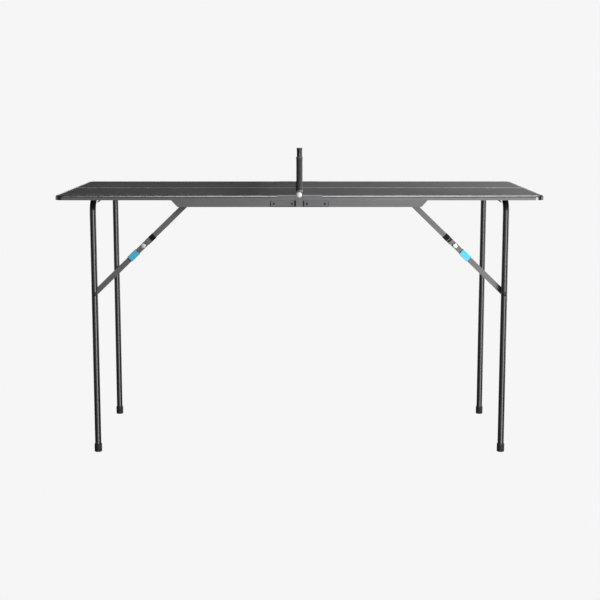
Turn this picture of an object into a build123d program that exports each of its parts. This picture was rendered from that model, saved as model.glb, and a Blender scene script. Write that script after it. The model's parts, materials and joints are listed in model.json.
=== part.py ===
from build123d import *
import math
import os

# Folding midi-size table-tennis table. Millimetres, X along the length, Y across it, +Z up.
# The origin is on the floor under the middle of the net. "front" is -Y, "left" is -X.

# Whole table
TABLE_LENGTH = 1380.0
TABLE_WIDTH = 620.0
SURFACE_Z = 760.0
END_GAP = 0.75  # from the fold line to the inner end of each half
HALF_LENGTH = TABLE_LENGTH / 2
HALF_WIDTH = TABLE_WIDTH / 2

# Playing boards and the moulding round them
BOARD_THICKNESS = 10.0
UNDERSIDE_Z = SURFACE_Z - BOARD_THICKNESS
RIM_WIDTH = 12.0
RIM_LEDGE = 10.0
RIM_BOTTOM_Z = 746.0
RIM_ROUND_WIDTH = 10.0
RIM_ROUND_HEIGHT = 6.0
CORNER_RADIUS = 25.0
BLOCK_END_X = 63.0  # the square-edged moulding block beside the fold ends here
BOARD_EDGE_X = HALF_LENGTH - RIM_WIDTH
BOARD_EDGE_Y = HALF_WIDTH - RIM_WIDTH

# Side rails
RAIL_BOTTOM_Z = 727.0
RAIL_DEPTH = 18.0
RAIL_WALL = 1.5
RAIL_TOP_X = 361.0
RAIL_BOTTOM_X = 343.3
RAIL_HOLLOW_X = 333.0
RAIL_MIDDLE_Z = (RIM_BOTTOM_Z + RAIL_BOTTOM_Z) / 2

# Fold hinge, in thin layers going outwards from the side of the table
HINGE_Z = SURFACE_Z + 2.0
LAYER_GAP = 0.3
ARM_THICKNESS = 2.0
LEFT_ARM_Y = HALF_WIDTH + LAYER_GAP
RIGHT_ARM_Y = LEFT_ARM_Y + ARM_THICKNESS + LAYER_GAP
NET_PLATE_Y = RIGHT_ARM_Y + ARM_THICKNESS + LAYER_GAP
NET_PLATE_THICKNESS = 3.0
LEAF_THICKNESS = 2.3
LEAF_START_X = 12.0
LEAF_END_X = 82.0
LEAF_HEIGHT = 18.0
LEAF_CORNER = 2.5
LEAF_CHAMFER = 1.6
LEAF_SCREW_X = (21.0, 71.5)
ARM_RADIUS = 9.0
ARM_STEP_X = 9.5  # the right arm is full depth from here to its leaf
PIN_RADIUS = 3.0
PIN_HOLE_RADIUS = PIN_RADIUS + 0.05
PIN_HEAD_RADIUS = 7.0
PIN_HEAD_HEIGHT = 2.0
DIMPLE_RADIUS = 1.4  # the setting tool's mark in the middle of each bright rivet head
DIMPLE_DEPTH = 0.7

# Net, posts and the brackets that carry them
NET_PLATE_HALF_WIDTH = 9.4
NET_SEAT_Z = HINGE_Z + 14.0
NET_DISC_Z = HINGE_Z + 9.4
SLEEVE_RADIUS = 9.6
POST_RADIUS = 7.8
POST_WALL = 1.5
POST_Y = HALF_WIDTH + 0.5 + SLEEVE_RADIUS
PEG_RADIUS = POST_RADIUS - POST_WALL - 0.1
PEG_HEIGHT = 24.0
POST_TOP_Z = 864.0
CAP_HEIGHT = 4.0
CAP_ROUND = 1.5
NET_TOP_Z = POST_TOP_Z
NET_BOTTOM_Z = HINGE_Z + 1.5
NET_THICKNESS = 1.0
NET_HEM_Y = HALF_WIDTH - 0.5  # the net's half width below its side sleeves
BAND_HEIGHT = 15.0
BAND_THICKNESS = 2.4

# Leg frames
LEG_X = 593.0
LEG_Y = 237.0
LEG_RADIUS = 9.0
LEG_WALL = 1.2
LEG_BEND = 31.0
LEG_PIVOT_Z = 738.5
TUBE_END_Z = 4.0
FOOT_RADIUS = 11.0
FOOT_HEIGHT = 24.0
SADDLE_Y = 150.0
SADDLE_WIDTH = 22.0
SADDLE_LENGTH = 44.0
SADDLE_WALL = 1.8
SADDLE_BORE = LEG_RADIUS + 0.06

# Folding braces. The knee folds flat when the upper and lower links differ in length as the two
# pivot distances do.
BRACE_TOP_X = 315.5
BRACE_FOOT_Z = 470.0
TOP_REACH = LEG_X - BRACE_TOP_X
LEG_REACH = LEG_PIVOT_Z - BRACE_FOOT_Z
BRACE_LENGTH = math.hypot(TOP_REACH, LEG_REACH)
LOWER_LENGTH = (BRACE_LENGTH + TOP_REACH - LEG_REACH) / 2
UPPER_LENGTH = (BRACE_LENGTH - TOP_REACH + LEG_REACH) / 2
BRACE_ANGLE = math.degrees(math.atan2(LEG_REACH, TOP_REACH))
LINK_WIDTH = 15.8
LINK_THICKNESS = 3.0
LOWER_LINK_Y = 219.0
UPPER_LINK_Y = LOWER_LINK_Y - LAYER_GAP - LINK_THICKNESS
JOGGLE = 8.5
JOGGLE_START = 16.5
JOGGLE_RUN = 5.0
JOGGLE_SHEAR = 2.5
KNEE_HEAD_RADIUS = 6.2
KNEE_HEAD_HEIGHT = 1.6
KNEE_TAIL_HEIGHT = 1.2
STOP_START = 26.0
STOP_LENGTH = 16.0
STOP_WALL = 0.8
COLLAR_START = 24.5
COLLAR_LENGTH = 31.0
COLLAR_HALF_WIDTH = 9.7
COLLAR_BORE_HALF_WIDTH = 8.1
COLLAR_BORE_Y = (214.3, 224.0)
COLLAR_Y = (212.5, 226.0)
SPACER_RADIUS = 6.5
SPACER_Y = 222.6
LEG_RIVET_RADIUS = 2.5
LEG_RIVET_HEAD_RADIUS = 6.2
LEG_RIVET_HEAD_HEIGHT = 2.4

# Clevis brackets at the top of the braces
BASE_THICKNESS = 1.8
EAR_THICKNESS = 1.5
EAR_RADIUS = 8.6
EAR_GAP = 0.3
CLEVIS_LENGTH = 44.0
CLEVIS_HEAD_RADIUS = 4.5
CLEVIS_HEAD_HEIGHT = 1.2

# Screws
SCREW_RADIUS = 1.75
SCREW_HEAD_RADIUS = 3.2
SCREW_HEAD_HEIGHT = 1.5
SCREW_DEPTH = 6.0
SCREW_OFFSET = 16.0
CROSS_WIDTH = 0.9
CROSS_DEPTH = 0.7

FRONT, BACK = -1, 1
LEFT, RIGHT = -1, 1


def box(x, y, z):
    """A box from three (low, high) pairs."""
    size = [abs(high - low) for low, high in (x, y, z)]
    middle = [(high + low) / 2 for low, high in (x, y, z)]
    return Pos(*middle) * Box(*size)


def rod_y(x, z, radius, start, end):
    """A cylinder along Y."""
    middle = Pos(x, (start + end) / 2, z)
    return middle * Rot(90, 0, 0) * Cylinder(radius, abs(end - start))


def dome_y(x, z, radius, height, start):
    """A low domed head whose flat face is at y = start, rising towards +Y."""
    ball_radius = (radius**2 + height**2) / (2 * height)
    ball = Pos(x, start + height - ball_radius, z) * Sphere(ball_radius)
    return ball & rod_y(x, z, radius, start, start + height)


def rivet_head(x, z, radius, height, start):
    """A domed head with a small round dimple in the middle of its crown."""
    top = start + height
    return dome_y(x, z, radius, height, start) - rod_y(x, z, DIMPLE_RADIUS, top - DIMPLE_DEPTH, top + 1)


def both_ends(shape):
    """A back piece together with its mirror image at the front."""
    return [shape, mirror(shape, about=Plane.XZ)]


def place(shape, side, end=BACK):
    """A piece drawn at the back of the right half, moved to another quarter of the table."""
    if side == LEFT:
        shape = mirror(shape, about=Plane.YZ)
    if end == FRONT:
        shape = mirror(shape, about=Plane.XZ)
    return shape


def group(shapes):
    """Separate solids kept in one node."""
    return Compound(children=[solid for shape in shapes for solid in shape.solids()])


# Boards, moulding and rails


def top_board():
    length = BOARD_EDGE_X - END_GAP
    outline = Pos(END_GAP + length / 2, 0) * Rectangle(length, 2 * BOARD_EDGE_Y)
    outline = fillet(outline.vertices().group_by(Axis.X)[-1], CORNER_RADIUS - RIM_WIDTH)
    return Pos(0, 0, UNDERSIDE_Z) * extrude(outline, BOARD_THICKNESS)


def moulding_profile(x, rounded):
    """The L-shaped moulding section at x, drawn with u outwards and z up."""
    plane = Plane(origin=(x, -BOARD_EDGE_Y, 0), x_dir=(0, -1, 0), z_dir=(-1, 0, 0))
    low = (RIM_WIDTH, SURFACE_Z - RIM_ROUND_HEIGHT)
    corner = (RIM_WIDTH, SURFACE_Z)
    high = (RIM_WIDTH - RIM_ROUND_WIDTH, SURFACE_Z)
    nose = [Bezier(low, corner, high)] if rounded else [Line(low, corner), Line(corner, high)]
    under = [(-RIM_LEDGE, UNDERSIDE_Z), (-RIM_LEDGE, RIM_BOTTOM_Z), (RIM_WIDTH, RIM_BOTTOM_Z)]
    rest = Polyline(high, (0, SURFACE_Z), (0, UNDERSIDE_Z), *under, low)
    return plane * make_face(Curve() + nose + rest)


def edge_frame():
    corners = [(BLOCK_END_X, -1), (BOARD_EDGE_X, -1), (BOARD_EDGE_X, 1), (BLOCK_END_X, 1)]
    points = [(x, sign * BOARD_EDGE_Y, 0) for x, sign in corners]
    path = FilletPolyline(*points, radius=CORNER_RADIUS - RIM_WIDTH)
    return sweep(moulding_profile(BLOCK_END_X, rounded=True), path=path)


def edge_block():
    profile = moulding_profile(BLOCK_END_X, rounded=False)
    return mirror(extrude(profile, BLOCK_END_X - END_GAP), about=Plane.XZ)


def side_rail():
    top, bottom = RIM_BOTTOM_Z, RAIL_BOTTOM_Z
    points = [(END_GAP, bottom), (RAIL_BOTTOM_X, bottom), (RAIL_TOP_X, top), (END_GAP, top)]
    outline = Plane.XZ * make_face(Polyline(*points, close=True))
    rail = Pos(0, HALF_WIDTH, 0) * extrude(outline, RAIL_DEPTH)
    inner_y = (HALF_WIDTH - RAIL_DEPTH + RAIL_WALL, HALF_WIDTH - RAIL_WALL)
    hollow = box((END_GAP - 1, RAIL_HOLLOW_X), inner_y, (bottom + RAIL_WALL, top - RAIL_WALL))
    return rail - hollow - leaf_screws()


# Fold hinge


def hinge_leaf():
    y = (HALF_WIDTH, HALF_WIDTH + LEAF_THICKNESS)
    z = (RAIL_MIDDLE_Z - LEAF_HEIGHT / 2, RAIL_MIDDLE_Z + LEAF_HEIGHT / 2)
    leaf = box((LEAF_START_X, LEAF_END_X), y, z)
    leaf = fillet(leaf.edges().filter_by(Axis.Y).group_by(Axis.X)[-1], LEAF_CORNER)
    leaf = chamfer(leaf.faces().sort_by(Axis.Y)[-1].edges(), LEAF_CHAMFER)
    return leaf - leaf_screws()


def arm_outline(start_y):
    """Upright arm from the rail to the fold pin, with a round eye at the top."""
    y = (start_y, start_y + ARM_THICKNESS)
    foot_z = RAIL_MIDDLE_Z - LEAF_HEIGHT / 2
    upright = box((-ARM_RADIUS, ARM_RADIUS), y, (foot_z, HINGE_Z))
    eye = rod_y(0, HINGE_Z, ARM_RADIUS, *y)
    return upright + eye - rod_y(0, HINGE_Z, PIN_HOLE_RADIUS, y[0] - 1, y[1] + 1)


def arm_foot(start_x, start_y, end_y):
    """The short tongue that joins an arm to the end of its leaf."""
    z = (RAIL_MIDDLE_Z - LEAF_HEIGHT / 2, RAIL_MIDDLE_Z + LEAF_HEIGHT / 2)
    return box((start_x, LEAF_START_X), (start_y, end_y), z)


def right_hinge_arm():
    step = arm_foot(ARM_STEP_X, LEFT_ARM_Y, RIGHT_ARM_Y + ARM_THICKNESS)
    tongue = arm_foot(0, RIGHT_ARM_Y, RIGHT_ARM_Y + ARM_THICKNESS)
    return arm_outline(RIGHT_ARM_Y) + tongue + step


def left_hinge_arm():
    """Drawn on the right like every other piece, and mirrored into place."""
    tongue = arm_foot(0, LEFT_ARM_Y, LEFT_ARM_Y + ARM_THICKNESS)
    return arm_outline(LEFT_ARM_Y) + tongue


def fold_pin():
    face = NET_PLATE_Y + NET_PLATE_THICKNESS
    shank = rod_y(0, HINGE_Z, PIN_RADIUS, HALF_WIDTH + 0.1, face)
    return shank + rivet_head(0, HINGE_Z, PIN_HEAD_RADIUS, PIN_HEAD_HEIGHT, face)


# Screws


def screw_y(x, z, face_y):
    """A cross-head screw driven inwards along -Y, with its head on the face at face_y."""
    head = dome_y(x, z, SCREW_HEAD_RADIUS, SCREW_HEAD_HEIGHT, face_y)
    shank = rod_y(x, z, SCREW_RADIUS, face_y - SCREW_DEPTH, face_y)
    top = face_y + SCREW_HEAD_HEIGHT
    reach = SCREW_HEAD_RADIUS * 0.6
    slots = [
        Pos(x, top, z) * Rot(0, 45 + 90 * turn, 0) * Box(2 * reach, 2 * CROSS_DEPTH, CROSS_WIDTH)
        for turn in (0, 1)
    ]
    return shank + head - slots[0] - slots[1]


def leaf_screws():
    face = HALF_WIDTH + LEAF_THICKNESS
    return Compound(children=[screw_y(x, RAIL_MIDDLE_Z, face) for x in LEAF_SCREW_X])


def underside_screw(x, y):
    """The same screw driven upwards into the board through a base plate."""
    drawn = screw_y(0, 0, 0)
    return Pos(x, y, UNDERSIDE_Z - BASE_THICKNESS) * Rot(-90, 0, 0) * drawn


def bracket_screws():
    """The four board screws of one saddle and one clevis bracket."""
    saddle = [(LEG_X + step, SADDLE_Y) for step in (-SCREW_OFFSET, SCREW_OFFSET)]
    clevis_y = UPPER_LINK_Y - JOGGLE + LINK_THICKNESS / 2
    clevis = [(BRACE_TOP_X + step, clevis_y) for step in (-SCREW_OFFSET, SCREW_OFFSET)]
    return [underside_screw(x, y) for x, y in saddle + clevis]


# Leg frames


def leg_path(radius):
    corners = [(-1, TUBE_END_Z), (-1, LEG_PIVOT_Z), (1, LEG_PIVOT_Z), (1, TUBE_END_Z)]
    path = FilletPolyline(*[(LEG_X, s * LEG_Y, z) for s, z in corners], radius=LEG_BEND)
    section = Pos(LEG_X, -LEG_Y, TUBE_END_Z) * Circle(radius)
    return sweep(section, path=path)


def leg_frame():
    tube = leg_path(LEG_RADIUS) - leg_path(LEG_RADIUS - LEG_WALL)
    reach = LEG_Y + 2 * LEG_RADIUS
    hole = rod_y(LEG_X, BRACE_FOOT_Z, LEG_RIVET_RADIUS, SPACER_Y, reach)
    for rivet_hole in both_ends(hole):
        tube -= rivet_hole
    return tube


def foot():
    outer = Pos(LEG_X, LEG_Y, FOOT_HEIGHT / 2) * Cylinder(FOOT_RADIUS, FOOT_HEIGHT)
    outer = fillet(outer.edges().filter_by(GeomType.CIRCLE).sort_by(Axis.Z)[-1], 1.5)
    outer = chamfer(outer.edges().filter_by(GeomType.CIRCLE).sort_by(Axis.Z)[0], 1.0)
    socket = Pos(LEG_X, LEG_Y, TUBE_END_Z + FOOT_HEIGHT / 2) * Cylinder(LEG_RADIUS, FOOT_HEIGHT)
    return outer - socket


def leg_spacer():
    body = rod_y(LEG_X, BRACE_FOOT_Z, SPACER_RADIUS, SPACER_Y, LEG_Y)
    tube = Pos(LEG_X, LEG_Y, BRACE_FOOT_Z) * Cylinder(LEG_RADIUS, 4 * SPACER_RADIUS)
    return body - tube - rod_y(LEG_X, BRACE_FOOT_Z, LEG_RIVET_RADIUS, SPACER_Y - 1, LEG_Y)


def leg_rivet():
    face = LEG_Y + LEG_RADIUS
    shank = rod_y(LEG_X, BRACE_FOOT_Z, LEG_RIVET_RADIUS, SPACER_Y, face)
    seat = face - LEG_RIVET_HEAD_HEIGHT
    collar = rod_y(LEG_X, BRACE_FOOT_Z, LEG_RIVET_HEAD_RADIUS, seat, face)
    tube = Pos(LEG_X, LEG_Y, BRACE_FOOT_Z) * Cylinder(LEG_RADIUS, 4 * LEG_RADIUS)
    head = dome_y(LEG_X, BRACE_FOOT_Z, LEG_RIVET_HEAD_RADIUS, LEG_RIVET_HEAD_HEIGHT, face)
    return shank + (collar + head - tube)


def cut_by(shape):
    """Clear the board screws out of a piece that they pass through."""
    for screw in bracket_screws():
        shape -= screw
    return shape


def leg_saddle():
    y = (SADDLE_Y - SADDLE_WIDTH / 2, SADDLE_Y + SADDLE_WIDTH / 2)
    x = (LEG_X - SADDLE_LENGTH / 2, LEG_X + SADDLE_LENGTH / 2)
    base = box(x, y, (UNDERSIDE_Z - BASE_THICKNESS, UNDERSIDE_Z))
    strap = rod_y(LEG_X, LEG_PIVOT_Z, SADDLE_BORE + SADDLE_WALL, *y)
    neck_half = SADDLE_BORE + SADDLE_WALL
    neck = box((LEG_X - neck_half, LEG_X + neck_half), y, (LEG_PIVOT_Z, UNDERSIDE_Z))
    return cut_by(base + strap + neck - rod_y(LEG_X, LEG_PIVOT_Z, SADDLE_BORE, y[0] - 1, y[1] + 1))


# Braces, drawn straight down from the top pivot and then swung to the open angle


def brace_frame(distance):
    """A place on the open brace, a distance down from its top pivot, with +X along the brace."""
    share = distance / BRACE_LENGTH
    x = BRACE_TOP_X + share * TOP_REACH
    z = LEG_PIVOT_Z - share * LEG_REACH
    return Pos(x, 0, z) * Rot(0, BRACE_ANGLE, 0)


def bar(start, end, low_y, high_y):
    """A flat bar with round ends between two pivots, both measured from the top pivot."""
    half = LINK_WIDTH / 2
    middle = box((0, end - start), (low_y, high_y), (-half, half))
    ends = [rod_y(x, 0, half, low_y, high_y) for x in (0, end - start)]
    return middle + ends[0] + ends[1]


def pivot_hole(distance, radius):
    return rod_y(distance, 0, radius, UPPER_LINK_Y - 2 * JOGGLE, LOWER_LINK_Y + JOGGLE)


def lower_link():
    link = bar(UPPER_LENGTH, BRACE_LENGTH, LOWER_LINK_Y, LOWER_LINK_Y + LINK_THICKNESS)
    link = link - pivot_hole(0, PIN_RADIUS) - pivot_hole(LOWER_LENGTH, PIN_RADIUS)
    return brace_frame(UPPER_LENGTH) * link


def upper_link_side():
    """The joggled side view of the upper link: distance up from the knee against Y."""
    knee_low, knee_high = UPPER_LINK_Y, UPPER_LINK_Y + LINK_THICKNESS
    top_low, top_high = knee_low - JOGGLE, knee_high - JOGGLE
    half = LINK_WIDTH / 2
    end = UPPER_LENGTH + half
    bend, turn = JOGGLE_START, JOGGLE_START + JOGGLE_RUN
    near = [(-half, knee_low), (-half, knee_high), (bend + JOGGLE_SHEAR, knee_high)]
    far = [(turn + JOGGLE_SHEAR, top_high), (end, top_high), (end, top_low)]
    return Polyline(*near, *far, (turn, top_low), (bend, knee_low), close=True)


def upper_link():
    profile = make_face(upper_link_side())
    half = LINK_WIDTH / 2
    blank = Pos(0, 0, -half) * extrude(profile, LINK_WIDTH)
    plan = bar(0, UPPER_LENGTH, UPPER_LINK_Y - 2 * JOGGLE, LOWER_LINK_Y + JOGGLE)
    link = (blank & plan) - pivot_hole(0, PIN_HOLE_RADIUS)
    link -= pivot_hole(UPPER_LENGTH, PIN_HOLE_RADIUS)
    return brace_frame(UPPER_LENGTH) * Rot(0, 180, 0) * link


def stop_sleeve():
    half = LINK_WIDTH / 2
    low = UPPER_LINK_Y - JOGGLE
    x = (-STOP_START - STOP_LENGTH, -STOP_START)
    outer_y = (low - STOP_WALL, low + LINK_THICKNESS + STOP_WALL)
    outer = box(x, outer_y, (-half - STOP_WALL, half + STOP_WALL))
    outer = fillet(outer.edges().filter_by(Axis.X), STOP_WALL * 0.9)
    inner = box((x[0] - 1, x[1] + 1), (low, low + LINK_THICKNESS), (-half, half))
    return brace_frame(UPPER_LENGTH) * (outer - inner)


def knee_rivet():
    face = LOWER_LINK_Y + LINK_THICKNESS
    head = rivet_head(0, 0, KNEE_HEAD_RADIUS, KNEE_HEAD_HEIGHT, face)
    shank = rod_y(0, 0, PIN_RADIUS, UPPER_LINK_Y, face)
    tail = rod_y(0, 0, KNEE_HEAD_RADIUS - 1, UPPER_LINK_Y - KNEE_TAIL_HEIGHT, UPPER_LINK_Y)
    return brace_frame(UPPER_LENGTH) * (shank + head + tail)


def foot_rivet():
    """Fills the lower link's leg hole, with its formed head on the inner side."""
    shank = rod_y(0, 0, PIN_RADIUS, LOWER_LINK_Y, LOWER_LINK_Y + LINK_THICKNESS)
    tail = rod_y(0, 0, KNEE_HEAD_RADIUS - 1, LOWER_LINK_Y - KNEE_TAIL_HEIGHT, LOWER_LINK_Y)
    return brace_frame(BRACE_LENGTH) * (shank + tail)


def lock_collar():
    x = (COLLAR_START, COLLAR_START + COLLAR_LENGTH)
    outer = box(x, COLLAR_Y, (-COLLAR_HALF_WIDTH, COLLAR_HALF_WIDTH))
    outer = fillet(outer.edges().filter_by(Axis.X), 1.2)
    half = COLLAR_BORE_HALF_WIDTH
    bore = box((x[0] - 1, x[1] + 1), COLLAR_BORE_Y, (-half, half))
    return brace_frame(UPPER_LENGTH) * (outer - bore)


def clevis_faces():
    """The Y positions of the upper link at the clevis, with the running gap each side."""
    low = UPPER_LINK_Y - JOGGLE
    return low - EAR_GAP, low + LINK_THICKNESS + EAR_GAP


def clevis_bracket():
    inner, outer = clevis_faces()
    ears = [(inner - EAR_THICKNESS, inner), (outer, outer + EAR_THICKNESS)]
    half = CLEVIS_LENGTH / 2
    x = (BRACE_TOP_X - half, BRACE_TOP_X + half)
    plate_z = (UNDERSIDE_Z - BASE_THICKNESS, UNDERSIDE_Z)
    bracket = box(x, (ears[0][0], ears[1][1]), plate_z)
    ear_x = (BRACE_TOP_X - EAR_RADIUS, BRACE_TOP_X + EAR_RADIUS)
    for y in ears:
        bracket += box(ear_x, y, (LEG_PIVOT_Z, plate_z[0]))
        bracket += rod_y(BRACE_TOP_X, LEG_PIVOT_Z, EAR_RADIUS, *y)
    hole = rod_y(BRACE_TOP_X, LEG_PIVOT_Z, PIN_RADIUS, ears[0][0] - 1, ears[1][1] + 1)
    return cut_by(bracket - hole)


def clevis_pin():
    inner, outer = clevis_faces()
    low, high = inner - EAR_THICKNESS, outer + EAR_THICKNESS
    pin = rod_y(BRACE_TOP_X, LEG_PIVOT_Z, PIN_RADIUS, low, high)
    for start, end in ((low - CLEVIS_HEAD_HEIGHT, low), (high, high + CLEVIS_HEAD_HEIGHT)):
        pin += rod_y(BRACE_TOP_X, LEG_PIVOT_Z, CLEVIS_HEAD_RADIUS, start, end)
    return pin


# Net and its brackets


def net_bracket():
    plate_y = (NET_PLATE_Y, NET_PLATE_Y + NET_PLATE_THICKNESS)
    foot_z = RAIL_MIDDLE_Z - LEAF_HEIGHT / 2
    half = NET_PLATE_HALF_WIDTH
    plate = box((-half, half), plate_y, (foot_z, NET_SEAT_Z))
    disc = Pos(0, POST_Y, (NET_DISC_Z + NET_SEAT_Z) / 2) * Cylinder(
        SLEEVE_RADIUS, NET_SEAT_Z - NET_DISC_Z
    )
    peg = Pos(0, POST_Y, NET_SEAT_Z + PEG_HEIGHT / 2) * Cylinder(PEG_RADIUS, PEG_HEIGHT)
    peg = chamfer(peg.edges().filter_by(GeomType.CIRCLE).sort_by(Axis.Z)[-1], 1.0)
    hole = rod_y(0, HINGE_Z, PIN_RADIUS, plate_y[0] - 1, plate_y[1] + 1)
    return plate + disc + peg - hole


def net_post():
    height = POST_TOP_Z - NET_SEAT_Z
    middle = Pos(0, POST_Y, NET_SEAT_Z + height / 2)
    return middle * (Cylinder(POST_RADIUS, height) - Cylinder(POST_RADIUS - POST_WALL, height))


def post_cap():
    """Closes the post and covers the end of the net's sleeve."""
    crown = Pos(0, POST_Y, POST_TOP_Z + CAP_HEIGHT / 2) * Cylinder(SLEEVE_RADIUS, CAP_HEIGHT)
    crown = fillet(crown.edges().filter_by(GeomType.CIRCLE).sort_by(Axis.Z)[-1], CAP_ROUND)
    plug_radius = POST_RADIUS - POST_WALL
    plug = Pos(0, POST_Y, POST_TOP_Z - CAP_HEIGHT) * Cylinder(plug_radius, 2 * CAP_HEIGHT)
    return crown + plug


def side_sleeve():
    height = NET_TOP_Z - NET_SEAT_Z
    middle = Pos(0, POST_Y, NET_SEAT_Z + height / 2)
    return middle * (Cylinder(SLEEVE_RADIUS, height) - Cylinder(POST_RADIUS, height))


def net_sheet(thickness, low_z, high_z):
    """Flat cloth between the side sleeves, cut back below them to pass inside the hinge arms."""
    half = thickness / 2
    sheet = box((-half, half), (-NET_HEM_Y, NET_HEM_Y), (low_z, high_z))
    if high_z > NET_SEAT_Z:
        sheet += box((-half, half), (-POST_Y, POST_Y), (max(low_z, NET_SEAT_Z), high_z))
    for y in (-POST_Y, POST_Y):
        sheet -= Pos(0, y, (low_z + high_z) / 2) * Cylinder(SLEEVE_RADIUS, high_z - low_z)
    return group([sheet.solids().sort_by(SortBy.VOLUME)[-1]])


def half_table(side):
    """The nodes that are fixed to one half of the table."""
    name = "left" if side == LEFT else "right"
    arm = left_hinge_arm() if side == LEFT else right_hinge_arm()
    board = top_board()
    screws = [copy for screw in bracket_screws() for copy in both_ends(screw)]
    for screw in screws:
        board -= screw
    drawn = {
        "top_board": [board],
        "edge_frame": [edge_frame()],
        "edge_blocks": both_ends(edge_block()),
        "hinge_leaves": both_ends(hinge_leaf()),
        "hinge_arms": both_ends(arm),
        "leaf_screws": both_ends(leaf_screws()),
        "leg_saddles": both_ends(leg_saddle()),
        "brace_brackets": both_ends(clevis_bracket()),
        "brace_pins": both_ends(clevis_pin()),
        "bracket_screws": screws,
    }
    nodes = {f"{name}_{part}": group(place(s, side) for s in shapes) for part, shapes in drawn.items()}
    rail = side_rail()
    nodes[f"{name}_back_rail"] = place(rail, side)
    nodes[f"{name}_front_rail"] = place(rail, side, FRONT)
    return nodes


def leg_and_braces(side):
    """The nodes of one leg frame and of its two folding braces."""
    name = "left" if side == LEFT else "right"
    groups = {
        "leg_frame": [leg_frame()],
        "feet": both_ends(foot()),
        "leg_rivets": both_ends(leg_rivet()),
        "leg_spacers": both_ends(leg_spacer()),
        "stop_sleeves": both_ends(stop_sleeve()),
        "link_rivets": both_ends(knee_rivet()) + both_ends(foot_rivet()),
    }
    nodes = {f"{name}_{part}": group(place(s, side) for s in shapes) for part, shapes in groups.items()}
    singles = {"upper_link": upper_link(), "lower_link": lower_link(), "collar": lock_collar()}
    for part, shape in singles.items():
        nodes[f"{name}_back_{part}"] = place(shape, side)
        nodes[f"{name}_front_{part}"] = place(shape, side, FRONT)
    return nodes


def net_nodes():
    bracket, post = net_bracket(), net_post()
    return {
        "back_net_bracket": bracket,
        "front_net_bracket": mirror(bracket, about=Plane.XZ),
        "fold_pins": group(both_ends(fold_pin())),
        "back_net_post": post,
        "front_net_post": mirror(post, about=Plane.XZ),
        "net_post_caps": group(both_ends(post_cap())),
        "net_side_sleeves": group(both_ends(side_sleeve())),
        "net_mesh": net_sheet(NET_THICKNESS, NET_BOTTOM_Z, NET_TOP_Z - BAND_HEIGHT),
        "net_top_band": net_sheet(BAND_THICKNESS, NET_TOP_Z - BAND_HEIGHT, NET_TOP_Z),
    }


def main():
    os.makedirs("parts", exist_ok=True)
    nodes = net_nodes()
    for side in (LEFT, RIGHT):
        nodes.update(half_table(side))
        nodes.update(leg_and_braces(side))
    for name, shape in nodes.items():
        export_step(shape, f"parts/{name}.step")


main()
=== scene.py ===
import json
import math

import bmesh
import bpy
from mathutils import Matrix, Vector


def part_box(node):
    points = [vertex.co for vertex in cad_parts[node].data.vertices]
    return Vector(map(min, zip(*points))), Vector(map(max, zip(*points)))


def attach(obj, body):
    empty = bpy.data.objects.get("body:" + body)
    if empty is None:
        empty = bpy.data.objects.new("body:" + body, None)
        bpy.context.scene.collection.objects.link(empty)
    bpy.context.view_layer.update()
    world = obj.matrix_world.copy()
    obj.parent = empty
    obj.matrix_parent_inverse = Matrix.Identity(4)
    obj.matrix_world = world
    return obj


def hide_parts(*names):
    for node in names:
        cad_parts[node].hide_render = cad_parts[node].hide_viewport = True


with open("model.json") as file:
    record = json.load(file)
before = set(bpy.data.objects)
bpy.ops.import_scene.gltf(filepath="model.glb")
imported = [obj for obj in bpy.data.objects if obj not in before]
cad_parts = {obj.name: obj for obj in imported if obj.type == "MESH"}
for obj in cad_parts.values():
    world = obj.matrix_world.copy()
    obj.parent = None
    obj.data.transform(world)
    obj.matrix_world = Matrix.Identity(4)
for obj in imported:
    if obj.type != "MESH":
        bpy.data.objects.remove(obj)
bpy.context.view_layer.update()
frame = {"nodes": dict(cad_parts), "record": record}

# Camera: square to the table's long side, centred on the net and looking slightly down.
CAMERA_PLACE = (0.0017, -4.058, 1.040)
CAMERA_PITCH = math.radians(8.76)
LENS_MM = 80
SENSOR_MM = 36

# Studio
DOME_RADIUS = 60
BACKDROP_BRIGHTNESS = 0.92
WORLD_STRENGTH = 0.06

# Printed centre line on the board
CENTRE_LINE_HALF = 0.0025
PRINT_EDGE = 0.0003

# Net, made of knotted twine, a folded tape along the top and a sewn sleeve at each post
NET_PITCH = 0.0072
TWINE_RADIUS = 0.00045
TWINE_SWING = 0.00040  # how far the two sets of cords stand off each other at a crossing
KNOT_RADIUS = 0.00085
BORDER_RADIUS = 0.0008
TAPE_THICKNESS = 0.0004
TAPE_GAP = 0.0008  # from the middle plane to the tape's inner face
HEADLINE_RADIUS = 0.0010
SLEEVE_CLOTH = 0.0005
SLEEVE_SLACK = 0.0004  # between the post and the sleeve's cloth
SLEEVE_FLAP = 0.012
HEM_HEIGHT = 0.007
HEM_EXTRA = 0.00012
HEM_EDGE = 0.0006  # height over which a hem's extra thickness comes and goes
STITCH_LENGTH = 0.0026
STITCH_PITCH = 0.0036
STITCH_RADIUS = 0.00015
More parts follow.
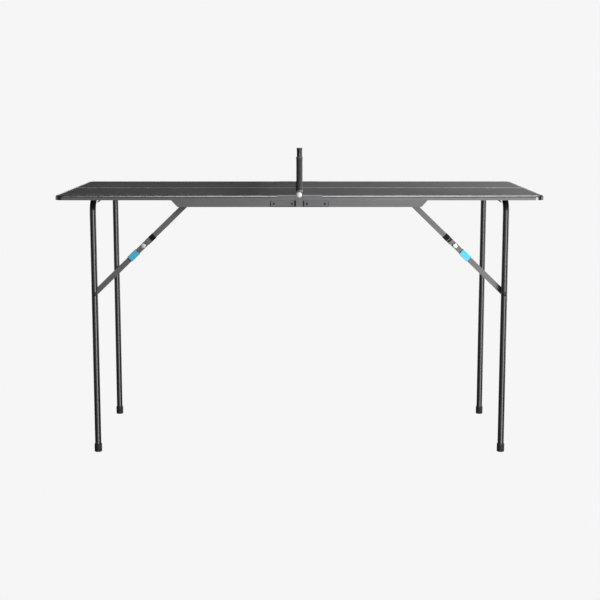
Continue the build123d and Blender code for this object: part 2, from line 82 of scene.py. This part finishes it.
# One stitch from end to end: half lengths along it, radii out of the cloth, share of its girth
STITCH_PROFILE = ((-1, -0.6, 0.4), (-0.6, 0.5, 1), (0, 0.8, 1), (0.6, 0.5, 1), (1, -0.6, 0.4))
STITCH_SIDES = 5
TAPE_ROWS = (0.13, 0.62)  # heights of the sewn rows, as shares of the tape's height
SLEEVE_ROWS = (0.0025, 0.009)  # how far the sewn rows stand from the post
SLEEVE_ROW_INSET = 0.002
NET_INSET = 0.0006  # how far the netting stops short of the CAD net's ends
NET_RISE = 0.0012  # how far its lowest row stands above the CAD net's bottom
TAPE_TUCK = 0.002  # how far its top row reaches up into the tape
NET_SAG = 0.0007
TAPE_INSET = 0.0008
TAPE_FOLLOW = 0.6  # the share of the netting's wave that the tape and its cord follow
TAPE_WRAP = math.radians(20)  # how far past a half turn the tape goes on each side of its cord
TAPE_NECK = 2.2  # where the faces start to open round the cord, in crown radii below its centre
TAPE_STATIONS = 90
CORD_STATIONS = 45

net_low, net_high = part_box("net_mesh")
band_low, band_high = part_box("net_top_band")
sleeve_low, sleeve_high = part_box("net_side_sleeves")
post_low, post_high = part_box("back_net_post")
POST_RADIUS = (post_high.x - post_low.x) / 2
POST_Y = (post_high.y + post_low.y) / 2
SURFACE_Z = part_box("right_top_board")[1].z

# Shader building


class Shader:
    """A Principled material, and short calls that add detail to it from object coordinates."""

    def __init__(self, name, color, roughness, metallic=0.0):
        self.material = bpy.data.materials.new(name)
        self.material.use_nodes = True
        self.nodes = self.material.node_tree.nodes
        self.links = self.material.node_tree.links
        self.bsdf = self.nodes["Principled BSDF"]
        self.bsdf.inputs["Metallic"].default_value = metallic
        self.bsdf.inputs["Roughness"].default_value = roughness
        self.bsdf.inputs["Base Color"].default_value = (*color, 1)
        self.coordinates = self.nodes.new("ShaderNodeTexCoord").outputs["Object"]
        self.under = (*color, 1)
        self.normal = None

    def set(self, **sockets):
        """Plain values for the shader's own sockets, such as Coat_Weight=0.3."""
        for name, value in sockets.items():
            self.bsdf.inputs[name.replace("_", " ")].default_value = value
        return self

    def node(self, kind, inputs, **settings):
        made = self.nodes.new(kind)
        for key, value in settings.items():
            setattr(made, key, value)
        for key, value in inputs.items():
            if isinstance(value, bpy.types.NodeSocket):
                self.links.new(value, made.inputs[key])
            else:
                made.inputs[key].default_value = value
        return made

    def math(self, operation, a, b=0.0):
        return self.node("ShaderNodeMath", {0: a, 1: b}, operation=operation).outputs[0]

    def noise(self, scale, stretch=(1, 1, 1)):
        mapping = {"Vector": self.coordinates, "Scale": stretch}
        mapped = self.node("ShaderNodeMapping", mapping).outputs[0]
        inputs = {"Vector": mapped, "Scale": scale, "Detail": 4.0}
        return self.node("ShaderNodeTexNoise", inputs).outputs["Fac"]

    def axis(self, letter):
        return self.node("ShaderNodeSeparateXYZ", {0: self.coordinates}).outputs[letter]

    def side(self, letter):
        """How squarely the surface faces along an axis, from 0 to 1."""
        facing = self.node("ShaderNodeNewGeometry", {}).outputs["True Normal"]
        split = self.node("ShaderNodeSeparateXYZ", {0: facing})
        return self.math("ABSOLUTE", split.outputs[letter])

    def ramp(self, value, low, high, out_low=0.0, out_high=1.0):
        inputs = {0: value, 1: low, 2: high, 3: out_low, 4: out_high}
        return self.node("ShaderNodeMapRange", inputs, interpolation_type="SMOOTHSTEP").outputs[0]

    def tint(self, factor, color):
        """Lays a colour over the base colour, as strongly as factor says."""
        inputs = {0: factor, 6: self.under, 7: (*color, 1)}
        self.under = self.node("ShaderNodeMix", inputs, data_type="RGBA").outputs[2]
        self.links.new(self.under, self.bsdf.inputs["Base Color"])
        return self

    def mottle(self, scale, color, amount=1.0, stretch=(1, 1, 1)):
        """Soft patches of a slightly different colour."""
        return self.tint(self.ramp(self.noise(scale, stretch), 0.35, 0.7, 0.0, amount), color)

    def roughen(self, scale, low, high, stretch=(1, 1, 1)):
        value = self.ramp(self.noise(scale, stretch), 0.3, 0.7, low, high)
        self.links.new(value, self.bsdf.inputs["Roughness"])
        return self

    def bump(self, height, distance):
        """Adds a height map, with its depth in metres, over any bump before it."""
        inputs = {"Height": height, "Distance": distance}
        if self.normal:
            inputs["Normal"] = self.normal
        self.normal = self.node("ShaderNodeBump", inputs).outputs[0]
        self.links.new(self.normal, self.bsdf.inputs["Normal"])
        return self

    def grain(self, scale, distance, stretch=(1, 1, 1)):
        return self.bump(self.noise(scale, stretch), distance)

    def waves(self, letters, pitch):
        """A sine along the sum of the named axes, one wave in each pitch."""
        total = self.axis(letters[0])
        for letter in letters[1:]:
            total = self.math("ADD", total, self.axis(letter))
        return self.math("SINE", self.math("MULTIPLY", total, math.tau / pitch))


# Materials, one for each slot of the record


def painted(name, color, patch, roughness, coat=0.0):
    """Sprayed or powder-coated metal: faint orange peel and a slightly uneven gloss."""
    shader = Shader(name, color, roughness)
    shader.mottle(9, patch, 0.6).roughen(35, roughness - 0.05, roughness + 0.07)
    shader.grain(900, 0.000004).set(Coat_Weight=coat, Coat_Roughness=0.12)
    return shader


def board_material():
    """Dark sprayed playing surface with one printed centre line, and a plain backing below."""
    shader = Shader("playing_surface", (0.055, 0.055, 0.057), 0.55)
    shader.mottle(5, (0.061, 0.061, 0.063), 0.7)
    top = shader.ramp(shader.axis("Z"), SURFACE_Z - 2 * PRINT_EDGE, SURFACE_Z - PRINT_EDGE)
    away = shader.math("ABSOLUTE", shader.axis("Y"))
    line = shader.ramp(away, CENTRE_LINE_HALF, CENTRE_LINE_HALF + PRINT_EDGE, 1.0, 0.0)
    worn = shader.ramp(shader.noise(220), 0.25, 0.45, 0.8, 1.0)
    printed = shader.math("MULTIPLY", shader.math("MULTIPLY", line, worn), top)
    shader.tint(shader.math("SUBTRACT", 1.0, top), (0.030, 0.029, 0.028))
    shader.tint(printed, (0.50, 0.50, 0.49))
    shader.roughen(26, 0.58, 0.68).grain(1400, 0.000012)
    return shader.set(Specular_IOR_Level=0.0)


def edge_material():
    """Satin metal moulding, with fine draw lines that run along the table."""
    shader = Shader("edge_moulding", (0.215, 0.215, 0.217), 0.3, metallic=1.0)
    shader.mottle(12, (0.228, 0.228, 0.230), 0.5)
    shader.roughen(60, 0.22, 0.27, (0.1, 8, 8))
    return shader.grain(180, 0.000003, (0.05, 12, 12))


def leaf_material():
    """Painted leaf with painted shade: its bevelled rim and sides are tinted near black, standing
    in for the dark gap around it.
    """
    shader = painted("leaf_paint", (0.092, 0.092, 0.095), (0.100, 0.100, 0.103), 0.36)
    # Painted shade: faces that don't squarely face along Y, which are the bevel and the sides, are
    # tinted near black.
    rim = shader.ramp(shader.side("Y"), 0.90, 0.97, 1.0, 0.0)
    return shader.tint(rim, (0.012, 0.012, 0.012))


def leg_material():
    """Gloss black tube, with the slight orange peel of thick paint."""
    shader = Shader("black_tube", (0.008, 0.008, 0.009), 0.2)
    shader.mottle(14, (0.013, 0.013, 0.014), 0.6).roughen(50, 0.18, 0.24)
    return shader.grain(700, 0.000002).set(Coat_Weight=1.0, Coat_Roughness=0.12)


def collar_material():
    """Moulded sky-blue plastic with a fine satin texture."""
    shader = Shader("blue_plastic", (0.055, 0.36, 0.54), 0.35)
    shader.mottle(60, (0.062, 0.39, 0.57), 0.6).roughen(90, 0.28, 0.42)
    return shader.grain(1800, 0.000006).set(Coat_Weight=0.2, Coat_Roughness=0.2)


def rivet_material():
    """Bright white-zinc rivet head with a slightly uneven gloss."""
    shader = Shader("bright_rivet", (0.58, 0.58, 0.58), 0.45)
    shader.mottle(300, (0.50, 0.50, 0.51), 0.5).roughen(400, 0.40, 0.55)
    return shader.grain(1500, 0.000005)


def zinc_material():
    shader = Shader("zinc", (0.50, 0.50, 0.52), 0.35, metallic=1.0)
    shader.mottle(240, (0.38, 0.38, 0.41), 0.8).roughen(300, 0.25, 0.5)
    return shader.grain(900, 0.000008)


def rubber_material():
    shader = Shader("rubber_foot", (0.010, 0.010, 0.010), 0.6)
    shader.mottle(90, (0.022, 0.021, 0.020), 0.7).roughen(120, 0.5, 0.75)
    return shader.grain(1100, 0.0001)


def plastic_material():
    shader = Shader("black_plastic", (0.006, 0.006, 0.006), 0.45)
    shader.mottle(120, (0.010, 0.010, 0.010), 0.6).roughen(150, 0.4, 0.55)
    return shader.grain(1600, 0.00001).set(Specular_IOR_Level=0.1)


def cloth_material():
    """Plain-woven synthetic tape with a soft sheen."""
    shader = Shader("woven_tape", (0.034, 0.034, 0.036), 0.85)
    shader.mottle(30, (0.040, 0.040, 0.042), 0.7)
    weave = shader.math("MULTIPLY", shader.waves("Y", 0.0011), shader.waves("Z", 0.0011))
    ribs = shader.ramp(weave, -1.0, 1.0)
    # Painted shade: the weave's low cells, where the bump sits lowest, are tinted darker.
    shader.tint(shader.ramp(weave, -1.0, 0.2, 0.5, 0.0), (0.020, 0.020, 0.022))
    shader.bump(ribs, 0.00015).grain(2200, 0.00004)
    return shader.set(Sheen_Weight=0.05, Sheen_Roughness=0.4, Specular_IOR_Level=0.2)


def twine_material(name, color, patch):
    """Twisted twine, with ridges that run round each cord on a slant."""
    shader = Shader(name, color, 0.75)
    shader.mottle(160, patch, 0.7)
    shader.bump(shader.waves("XYZ", 0.0011), 0.00012)
    return shader.set(Sheen_Weight=0.15)


GREY_PAINT, GREY_PATCH = (0.095, 0.095, 0.097), (0.104, 0.104, 0.106)
SHADERS = {
    "board": board_material(),
    "edge": edge_material(),
    "rail": painted("rail_paint", GREY_PAINT, GREY_PATCH, 0.42),
    "leaf": leaf_material(),
    "link": painted("link_paint", GREY_PAINT, GREY_PATCH, 0.40),
    "leg": leg_material(),
    "black_steel": painted("black_steel", (0.010, 0.010, 0.011), (0.016, 0.016, 0.017), 0.34),
    "zinc": zinc_material(),
    "rivet": rivet_material(),
    "collar": collar_material(),
    "foot": rubber_material(),
    "black_plastic": plastic_material(),
    "net_bracket": painted("bracket_paint", (0.102, 0.102, 0.105), GREY_PATCH, 0.38),
    "post": painted("post_paint", (0.038, 0.038, 0.040), (0.044, 0.044, 0.046), 0.55),
    "net_cloth": cloth_material(),
    "net_cord": twine_material("net_twine", (0.028, 0.028, 0.030), (0.045, 0.045, 0.047)),
}
THREAD = twine_material("sewing_thread", (0.11, 0.11, 0.112), (0.14, 0.14, 0.142))


def dress_cad_nodes():
    """Gives every CAD node the material of its slot."""
    for row in frame["record"]["subparts"]:
        materials = frame["nodes"][row["node"]].data.materials
        materials.clear()
        materials.append(SHADERS[row["material_slot"]].material)


# Camera, backdrop and lights


def add_object(name, data):
    made = bpy.data.objects.new(name, data)
    bpy.context.scene.collection.objects.link(made)
    return made


def make_camera():
    camera = add_object("camera", bpy.data.cameras.new("camera"))
    camera.data.lens = LENS_MM
    camera.data.sensor_width = SENSOR_MM
    camera.location = CAMERA_PLACE
    camera.rotation_euler = (math.pi / 2 - CAMERA_PITCH, 0, 0)
    bpy.context.scene.camera = camera


def softbox(name, place, aim, size, radiance, lights="both"):
    """A panel that the camera doesn't see. It can be kept to soft light or to highlights."""
    light = bpy.data.lights.new(name, "AREA")
    light.shape = "RECTANGLE"
    light.size, light.size_y = size
    light.energy = radiance * math.pi * size[0] * size[1]
    holder = add_object(name, light)
    holder.location = place
    holder.rotation_euler = (Vector(aim) - Vector(place)).to_track_quat("-Z", "Y").to_euler()
    holder.visible_camera = False
    holder.visible_glossy = lights != "soft"
    holder.visible_diffuse = lights != "shine"


def make_backdrop():
    """A pale floor under a pale dome. Both shine evenly, and only the camera sees them."""
    bm = bmesh.new()
    bmesh.ops.create_uvsphere(bm, u_segments=48, v_segments=24, radius=DOME_RADIUS)
    below = [vertex for vertex in bm.verts if vertex.co.z < -0.01]
    bmesh.ops.delete(bm, geom=below, context="VERTS")
    rim = [edge for edge in bm.edges if edge.is_boundary]
    bmesh.ops.contextual_create(bm, geom=rim)
    mesh = bpy.data.meshes.new("floor")
    bm.to_mesh(mesh)
    bm.free()
    shader = Shader("pale_floor", (0, 0, 0), 1.0)
    shader.set(Specular_IOR_Level=0.0, Emission_Strength=BACKDROP_BRIGHTNESS)
    shader.set(Emission_Color=(1, 1, 1, 1))
    shader.material.cycles.emission_sampling = "NONE"
    mesh.materials.append(shader.material)
    floor = add_object("floor", mesh)
    floor.visible_diffuse = floor.visible_glossy = floor.visible_shadow = False


def around(azimuth, distance, height):
    """A place round the table, at an angle to the right of straight in front."""
    turn = math.radians(azimuth)
    return (distance * math.sin(turn), -distance * math.cos(turn), height)


def make_lights():
    """Soft light from the right, and panels placed for what the gloss should show."""
    top, below = (0, 0, 0.75), (0, 0, -0.5)
    softbox("top_key", (2.4, 0.5, 1.9), (0.2, 0, 0.75), (1.2, 1.2), 55, "soft")
    softbox("front_key", (1.55, -1.95, 0.9), (0.2, -0.3, 0.6), (1.0, 1.0), 33, "soft")
    softbox("back_fill", (-0.6, 4.8, 2.6), top, (3.0, 1.6), 3.0, "soft")
    softbox("front_right", around(30, 12, -0.5), below, (4.6, 7.0), 5.0, "shine")
    softbox("front_middle", around(9.5, 12, -0.5), below, (1.8, 7.0), 1.25, "shine")
    softbox("front_centre", around(2.7, 12, -0.5), below, (1.1, 7.0), 0.9, "shine")
    softbox("front_near_left", around(-2.5, 12, -0.5), below, (1.1, 7.0), 0.6, "shine")
    softbox("front_left", around(-21, 12, -0.5), below, (6.8, 7.0), 0.4, "shine")
    softbox("overhead", (0.6, -0.4, 3.4), top, (4.3, 2.0), 4.0, "shine")
    softbox("right_side", (4.8, 1.4, 0.8), (0.6, 1.4, 0.8), (3.0, 3.0), 1.2, "shine")
    softbox("left_side", (-4.8, 1.4, 0.8), (-0.6, 1.4, 0.8), (3.0, 3.0), 0.4, "shine")
    softbox("back_wall", (0, 6.0, 0.7), (0, 0, 0.7), (9.0, 2.4), 1.15, "shine")


def make_world():
    world = bpy.data.worlds.new("studio")
    bpy.context.scene.world = world
    world.use_nodes = True
    background = world.node_tree.nodes["Background"]
    background.inputs["Color"].default_value = (1, 1, 1, 1)
    background.inputs["Strength"].default_value = WORLD_STRENGTH


# Net


def add_piece(name, bm, shader):
    """A finished mesh as a smooth piece that rides with the net."""
    bmesh.ops.recalc_face_normals(bm, faces=bm.faces)
    mesh = bpy.data.meshes.new(name)
    bm.to_mesh(mesh)
    bm.free()
    mesh.materials.append(shader.material)
    mesh.polygons.foreach_set("use_smooth", [True] * len(mesh.polygons))
    piece = add_object(name, mesh)
    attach(piece, "net")
    return piece


def bridge(bm, first, second):
    for k, vertex in enumerate(first):
        ahead = (k + 1) % len(first)
        bm.faces.new((vertex, first[ahead], second[ahead], second[k]))


def tube_along(bm, points, radius, sides=6):
    """A closed tube along points in the net's plane, where X is always across it."""
    rings = []
    for i, point in enumerate(points):
        ahead = (points[min(i + 1, len(points) - 1)] - points[max(i - 1, 0)]).normalized()
        up = ahead.cross(Vector((1, 0, 0))).normalized()
        across = up.cross(ahead)
        turns = [math.tau * k / sides for k in range(sides)]
        ring = [point + (across * math.cos(a) + up * math.sin(a)) * radius for a in turns]
        rings.append([bm.verts.new(place) for place in ring])
    for first, second in zip(rings, rings[1:]):
        bridge(bm, first, second)
    bm.faces.new(rings[0])
    bm.faces.new(rings[-1])


def net_wave(y, z):
    """How far the net stands off its middle plane."""
    return 0.00022 * math.sin(17 * y + 3 * z) + 0.00016 * math.sin(41 * y - 60 * z)


def make_net():
    """Square-mesh netting: uprights and rows that pass each other at small knots."""
    bm = bmesh.new()
    half = net_high.y - NET_INSET
    low_z, high_z = net_low.z + NET_RISE, band_low.z + TAPE_TUCK
    columns, rows = round(2 * half / NET_PITCH), round((high_z - low_z) / NET_PITCH)
    step_y, step_z = 2 * half / columns, (high_z - low_z) / rows
    first_full_row = math.ceil((post_low.z - low_z) / step_z)

    def place(i, j, stand_off=0.0):
        """A point of the net at column i and row j, which may lie between crossings."""
        y, z = -half + i * step_y, low_z + j * step_z
        sag = NET_SAG * (1 - (y / half) ** 2) * (1 - j / rows)
        lean = stand_off * math.cos(math.pi * i) * math.cos(math.pi * j)
        return Vector((net_wave(y, z) + lean, y, z - sag))

    def halves(first, last):
        return [k / 2 for k in range(2 * first, 2 * last + 1)]

    def tube(points, radius=TWINE_RADIUS):
        tube_along(bm, points, radius)

    for i in range(columns + 1):
        start = first_full_row if i in (0, columns) else 0
        tube([place(i, j, TWINE_SWING) for j in halves(start, rows)])
    for j in range(rows + 1):
        inset = 1 if j < first_full_row else 0
        radius = BORDER_RADIUS if j == 0 else TWINE_RADIUS
        tube([place(i, j, -TWINE_SWING) for i in halves(inset, columns - inset)], radius)
        for i in range(inset, columns + 1 - inset):
            add_knot(bm, place(i, j))
    return add_piece("net_netting", bm, SHADERS["net_cord"])


def add_knot(bm, place):
    made = bmesh.ops.create_icosphere(bm, subdivisions=1, radius=KNOT_RADIUS)["verts"]
    for vertex in made:
        vertex.co = place + Vector((vertex.co.x * 1.15, vertex.co.y, vertex.co.z * 0.9))


def ribbon_section(path, thickness):
    """The outline of a strip of cloth that follows an open path of (u, v) points."""
    outer, inner = [], []
    for i, point in enumerate(path):
        ahead = (path[min(i + 1, len(path) - 1)] - path[max(i - 1, 0)]).normalized()
        side = Vector((-ahead.y, ahead.x)) * thickness / 2
        outer.append(point + side)
        inner.append(point - side)
    return outer, inner


def loft_ribbon(bm, sections):
    """A closed strip through sections of matching (outer, inner) lists of 3-D points."""
    loops = [[[bm.verts.new(point) for point in side] for side in section] for section in sections]
    for first, second in zip(loops, loops[1:]):
        bridge(bm, first[0] + first[1][::-1], second[0] + second[1][::-1])
    for outer, inner in (loops[0], loops[-1]):
        for k in range(len(outer) - 1):
            bm.faces.new((outer[k], outer[k + 1], inner[k + 1], inner[k]))


def arc(center, radius, start, end, steps):
    turns = [start + (end - start) * k / steps for k in range(steps + 1)]
    return [center + Vector((math.cos(a), math.sin(a))) * radius for a in turns]


def make_top_tape():
    """Woven tape folded over the net's headline cord, with its two edges pointing down."""
    middle = TAPE_GAP + TAPE_THICKNESS / 2
    crown = HEADLINE_RADIUS + TAPE_THICKNESS / 2
    top = Vector((0, band_high.z - TAPE_THICKNESS / 2 - crown))
    low, neck = band_low.z, top.y - TAPE_NECK * crown
    left = [Vector((-middle, low + (neck - low) * k / 5)) for k in range(6)]
    right = [Vector((-point.x, point.y)) for point in reversed(left)]
    over = arc(top, crown, math.pi + TAPE_WRAP, -TAPE_WRAP, 12)
    outer, inner = ribbon_section(left + over + right, TAPE_THICKNESS)
    half = band_high.y - TAPE_INSET
    bm = bmesh.new()
    sections = []
    for k in range(TAPE_STATIONS + 1):
        y = -half + 2 * half * k / TAPE_STATIONS
        drift = Vector((net_wave(y, low) * TAPE_FOLLOW, y, 0.00012 * math.sin(60 * y)))
        sections.append([[drift + Vector((p.x, 0, p.y)) for p in side] for side in (outer, inner)])
    loft_ribbon(bm, sections)
    tape = add_piece("net_top_tape", bm, SHADERS["net_cloth"])
    # The two short runs from neck to fold aren't counted: the tape is 4.5 mm wider than this.
    cut = 2 * (neck - low) + crown * (math.pi + 2 * TAPE_WRAP)
    return tape, (cut, 2 * half)


def add_stitch(bm, center, along, out):
    """One raised stitch: a thread that rises out of the cloth and dips back in."""
    across = along.cross(out)
    rings = []
    turns = [math.tau * k / STITCH_SIDES for k in range(STITCH_SIDES)]
    for t, lift, girth in STITCH_PROFILE:
        middle = center + along * (t * STITCH_LENGTH / 2) + out * (lift * STITCH_RADIUS)
        spokes = [across * math.cos(a) + out * math.sin(a) for a in turns]
        ring = [middle + spoke * STITCH_RADIUS * girth for spoke in spokes]
        rings.append([bm.verts.new(place) for place in ring])
    for first, second in zip(rings, rings[1:]):
        bridge(bm, first, second)
    bm.faces.new(rings[0])
    bm.faces.new(rings[-1])


def make_tape_stitching():
    """Two sewn rows along each face of the top tape."""
    bm = bmesh.new()
    half = band_high.y - SLEEVE_FLAP
    count = int(2 * half / STITCH_PITCH)
    face = TAPE_GAP + TAPE_THICKNESS
    height = band_high.z - band_low.z
    for row in TAPE_ROWS:
        for k in range(count):
            y = -half + (k + 0.5) * 2 * half / count
            z = band_low.z + row * height
            for side in (-1, 1):
                x = side * face + net_wave(y, band_low.z) * TAPE_FOLLOW
                add_stitch(bm, Vector((x, y, z)), Vector((0, 1, 0)), Vector((side, 0, 0)))
    return add_piece("net_tape_stitching", bm, THREAD)


def sleeve_path(end, radius):
    """A strip that comes out along the net, goes round the post and comes back."""
    inner_y = POST_Y - POST_RADIUS - SLEEVE_FLAP
    gap = TAPE_GAP + TAPE_THICKNESS + SLEEVE_CLOTH / 2
    meet = math.asin(gap / radius)
    joint_y = POST_Y - radius * math.cos(meet)
    flap = [Vector((gap, inner_y + (joint_y - inner_y) * k / 4)) for k in range(4)]
    start = -math.pi / 2 + meet
    center = Vector((0, POST_Y))
    around = arc(center, radius, start, start + math.tau - 2 * meet, 40)
    back = [Vector((-point.x, point.y)) for point in reversed(flap)]
    return [Vector((point.x, end * point.y)) for point in flap + around + back]


def make_sleeve(name, end):
    """Cloth sleeve sewn round one post, with a turned hem at its top and bottom."""
    low, high = sleeve_low.z, sleeve_high.z
    height = high - low
    radius = POST_RADIUS + SLEEVE_SLACK + SLEEVE_CLOTH / 2
    hem = HEM_HEIGHT / height
    soft = HEM_EDGE / height
    shares = [0, soft, hem - soft, hem] + [hem + (1 - 2 * hem) * k / 14 for k in range(1, 14)]
    shares += [1 - hem, 1 - hem + soft, 1 - soft, 1]
    bm = bmesh.new()
    sections = []
    for share in shares:
        hemmed = share < hem - soft / 2 or share > 1 - hem + soft / 2
        thickness = SLEEVE_CLOTH + (2 * HEM_EXTRA if hemmed else 0)
        outer, inner = ribbon_section(sleeve_path(end, radius), thickness)
        z = low + share * height
        sections.append([[ruffle(point, z, end) for point in side] for side in (outer, inner)])
    loft_ribbon(bm, sections)
    sleeve = add_piece(name, bm, SHADERS["net_cloth"])
    return sleeve, (path_length(sleeve_path(end, radius)), height)


def ruffle(point, z, end):
    """Slight slack in the cloth that fades out where it is held to the net."""
    spoke = point - Vector((0, end * POST_Y))
    angle = math.atan2(spoke.x, end * spoke.y)
    wave = math.sin(3 * angle + 90 * z) * math.sin(130 * z + 2 * angle)
    push = 0.00012 * wave * (1 + math.cos(angle)) / 2
    moved = point + spoke.normalized() * push
    return Vector((moved.x, moved.y, z))


def path_length(path):
    return sum((b - a).length for a, b in zip(path, path[1:]))


def make_sleeve_stitching():
    """Two sewn rows down both faces of each sleeve's flap, beside the post."""
    bm = bmesh.new()
    face = TAPE_GAP + TAPE_THICKNESS + SLEEVE_CLOTH
    low, high = sleeve_low.z + SLEEVE_ROW_INSET, sleeve_high.z - SLEEVE_ROW_INSET
    count = int((high - low) / STITCH_PITCH)
    for end in (-1, 1):
        for inset in SLEEVE_ROWS:
            y = end * (POST_Y - POST_RADIUS - inset)
            for k in range(count):
                z = low + (k + 0.5) * (high - low) / count
                for side in (-1, 1):
                    center = Vector((side * face, y, z))
                    add_stitch(bm, center, Vector((0, 0, 1)), Vector((side, 0, 0)))
    return add_piece("net_sleeve_stitching", bm, THREAD)


def make_headline():
    """The cord inside the fold of the top tape."""
    bm = bmesh.new()
    half = band_high.y - TAPE_INSET
    z = band_high.z - TAPE_THICKNESS - HEADLINE_RADIUS
    stations = [half * k / CORD_STATIONS for k in range(-CORD_STATIONS, CORD_STATIONS + 1)]
    points = [Vector((net_wave(y, band_low.z) * TAPE_FOLLOW, y, z)) for y in stations]
    tube_along(bm, points, HEADLINE_RADIUS, sides=10)
    return add_piece("net_headline", bm, SHADERS["net_cord"])


def make_net_pieces():
    netting = make_net()
    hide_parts("net_mesh")
    # The cut is really the whole rectangle.
    tape, tape_flat = make_top_tape()
    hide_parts("net_top_band")
    stitching = make_tape_stitching()
    headline = make_headline()
    for name, end in (("front", -1), ("back", 1)):
        sleeve, sleeve_flat = make_sleeve(f"{name}_net_sleeve", end)
        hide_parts("net_side_sleeves")
    make_sleeve_stitching()


bpy.context.scene.view_settings.view_transform = "Standard"
make_camera()
make_backdrop()
make_lights()
make_world()
dress_cad_nodes()
make_net_pieces()
